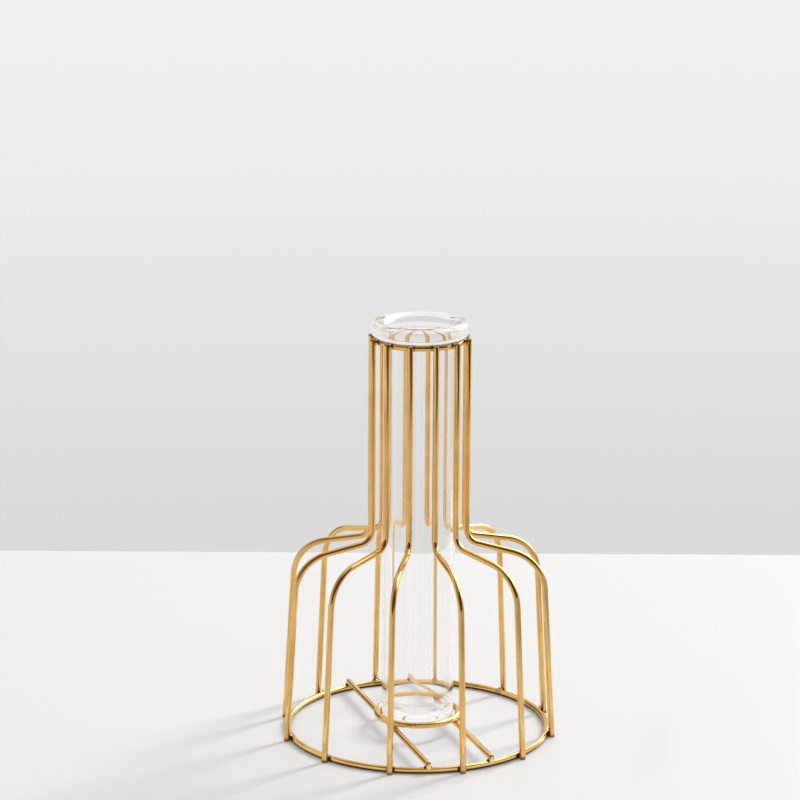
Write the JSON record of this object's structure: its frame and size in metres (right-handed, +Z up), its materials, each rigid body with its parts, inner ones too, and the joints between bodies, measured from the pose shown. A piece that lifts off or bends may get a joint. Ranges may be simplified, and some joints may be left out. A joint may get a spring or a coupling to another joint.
{
  "type": "cage vase",
  "caption": "Bottle-shaped brass-plated wire frame on a ring foot, holding a clear lipped glass tube that lifts out to be filled with water and stems.",
  "frame": {"origin": "centre of the foot ring, on the table the ribs and ring stand on", "axes": "+Z up along the tube, Y along the two seat bars, and one rib foot on -Y"},
  "size_m": [0.13, 0.13, 0.1945],
  "materials": {
    "plated_wire": "polished brass-coloured plating on steel wire",
    "clear_glass": "clear polished soda-lime glass"
  },
  "bodies": {
    "wire_frame": {"foot_ring": "plated_wire", "rib_01": "plated_wire", "rib_02": "plated_wire", "rib_03": "plated_wire", "rib_04": "plated_wire", "rib_05": "plated_wire", "rib_06": "plated_wire", "rib_07": "plated_wire", "rib_08": "plated_wire", "rib_09": "plated_wire", "rib_10": "plated_wire", "rib_11": "plated_wire", "rib_12": "plated_wire", "neck_ring": "plated_wire", "seat_bar_left": "plated_wire", "seat_bar_right": "plated_wire", "seat_ring": "plated_wire"},
    "tube": {"glass_tube": "clear_glass"}
  },
  "joints": [
    {"name": "tube_lift", "type": "slide", "parent": "wire_frame", "child": "tube", "axis": [0, 0, 1], "range_m": [0, 0.195]}
  ]
}
